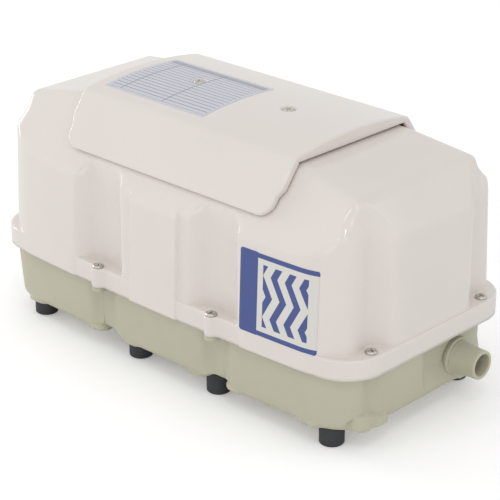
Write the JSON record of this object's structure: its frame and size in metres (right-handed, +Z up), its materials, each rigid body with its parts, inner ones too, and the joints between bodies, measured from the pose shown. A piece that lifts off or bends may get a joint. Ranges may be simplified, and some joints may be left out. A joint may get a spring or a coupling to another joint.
{
  "type": "pond air pump",
  "caption": "Linear piston pond air pump: off-white hood with draped filter cover on a green air tank with rubber feet and a side outlet pipe.",
  "frame": {"origin": "on the floor at the middle of the box over hood and outlet", "axes": "+X along the length to the outlet end, +Y to the back, +Z up"},
  "size_m": [0.464, 0.2388, 0.243],
  "materials": {
    "hood_plastic": "semi-gloss moulded",
    "tank_plastic": "satin moulded",
    "black_rubber": "matt moulded rubber",
    "bright_steel": "bright nickel plate",
    "zinc_plate": "zinc plated sheet",
    "cast_alloy": "as cast",
    "lamination_steel": "stacked varnished laminations",
    "copper_wire": "enamelled wire",
    "bronze": "sintered",
    "nylon": "natural moulded nylon",
    "filter_mat": "open foam mat"
  },
  "bodies": {
    "base": {"tank_base": "tank_plastic", "rubber_feet": "black_rubber", "foot_screws": "bright_steel", "outlet_port": "tank_plastic", "outlet_seal": "black_rubber", "outlet_nut": "tank_plastic", "cord_gland": "black_rubber", "deck_gasket": "black_rubber", "deck_plate": "zinc_plate", "deck_screws": "bright_steel", "terminal_block": "nylon", "vibration_mounts_left": "black_rubber", "pump_frame_left": "cast_alloy", "stator_core_left": "lamination_steel", "coil_bobbins_left": "nylon", "coil_windings_left": "copper_wire", "shaft_guide_left": "bronze", "cylinder_barrel_left": "cast_alloy", "valve_plate_left": "bright_steel", "cylinder_head_left": "cast_alloy", "head_screws_left": "bright_steel", "return_spring_left": "bright_steel", "spring_cap_left": "nylon", "discharge_hose_left": "black_rubber", "hose_clamps_left": "bright_steel", "vibration_mounts_right": "black_rubber", "pump_frame_right": "cast_alloy", "stator_core_right": "lamination_steel", "coil_bobbins_right": "nylon", "coil_windings_right": "copper_wire", "shaft_guide_right": "bronze", "cylinder_barrel_right": "cast_alloy", "valve_plate_right": "bright_steel", "cylinder_head_right": "cast_alloy", "head_screws_right": "bright_steel", "return_spring_right": "bright_steel", "spring_cap_right": "nylon", "discharge_hose_right": "black_rubber", "hose_clamps_right": "bright_steel"},
    "hood": {"hood": "hood_plastic", "hood_screws": "bright_steel", "filter_element": "filter_mat"},
    "filter_cover": {"filter_cover": "hood_plastic", "filter_cover_screws": "bright_steel"},
    "piston_set_left": {"shaft_left": "bright_steel", "armature_left": "lamination_steel", "piston_left": "cast_alloy", "piston_ring_left": "black_rubber"},
    "suction_flap_left": {"suction_flap_left": "bright_steel"},
    "discharge_flap_left": {"discharge_flap_left": "bright_steel"},
    "piston_set_right": {"shaft_right": "bright_steel", "armature_right": "lamination_steel", "piston_right": "cast_alloy", "piston_ring_right": "black_rubber"},
    "suction_flap_right": {"suction_flap_right": "bright_steel"},
    "discharge_flap_right": {"discharge_flap_right": "bright_steel"}
  },
  "joints": [
    {"name": "hood_lift", "type": "slide", "parent": "base", "child": "hood", "axis": [0, 0, 1], "range_m": [0, 0.16]},
    {"name": "filter_cover_lift", "type": "slide", "parent": "hood", "child": "filter_cover", "axis": [0, 0, 1], "range_m": [0, 0.06]},
    {"name": "piston_slide_right", "type": "slide", "parent": "base", "child": "piston_set_right", "axis": [-1, 0, 0], "range_m": [-0.004, 0.01], "stiffness_N_per_m": 4000, "deforming": ["return_spring_right"]},
    {"name": "piston_slide_left", "type": "slide", "parent": "base", "child": "piston_set_left", "axis": [1, 0, 0], "range_m": [-0.004, 0.01], "stiffness_N_per_m": 4000, "deforming": ["return_spring_left"]},
    {"name": "suction_flap_swing_right", "type": "hinge", "parent": "base", "child": "suction_flap_right", "pos_m": [0.16735, 0.024, 0.145], "axis": [0, 0, -1], "range_deg": [0, 10], "stiffness_Nm_per_rad": 0.05},
    {"name": "discharge_flap_swing_right", "type": "hinge", "parent": "base", "child": "discharge_flap_right", "pos_m": [0.17265, -0.024, 0.145], "axis": [0, 0, -1], "range_deg": [0, 12], "stiffness_Nm_per_rad": 0.05},
    {"name": "suction_flap_swing_left", "type": "hinge", "parent": "base", "child": "suction_flap_left", "pos_m": [-0.18335, 0.024, 0.145], "axis": [0, 0, 1], "range_deg": [0, 10], "stiffness_Nm_per_rad": 0.05},
    {"name": "discharge_flap_swing_left", "type": "hinge", "parent": "base", "child": "discharge_flap_left", "pos_m": [-0.18865, -0.024, 0.145], "axis": [0, 0, 1], "range_deg": [0, 12], "stiffness_Nm_per_rad": 0.05}
  ],
  "couplings": [
    {"joint": "piston_slide_left", "follows": "piston_slide_right", "ratio": 1}
  ]
}
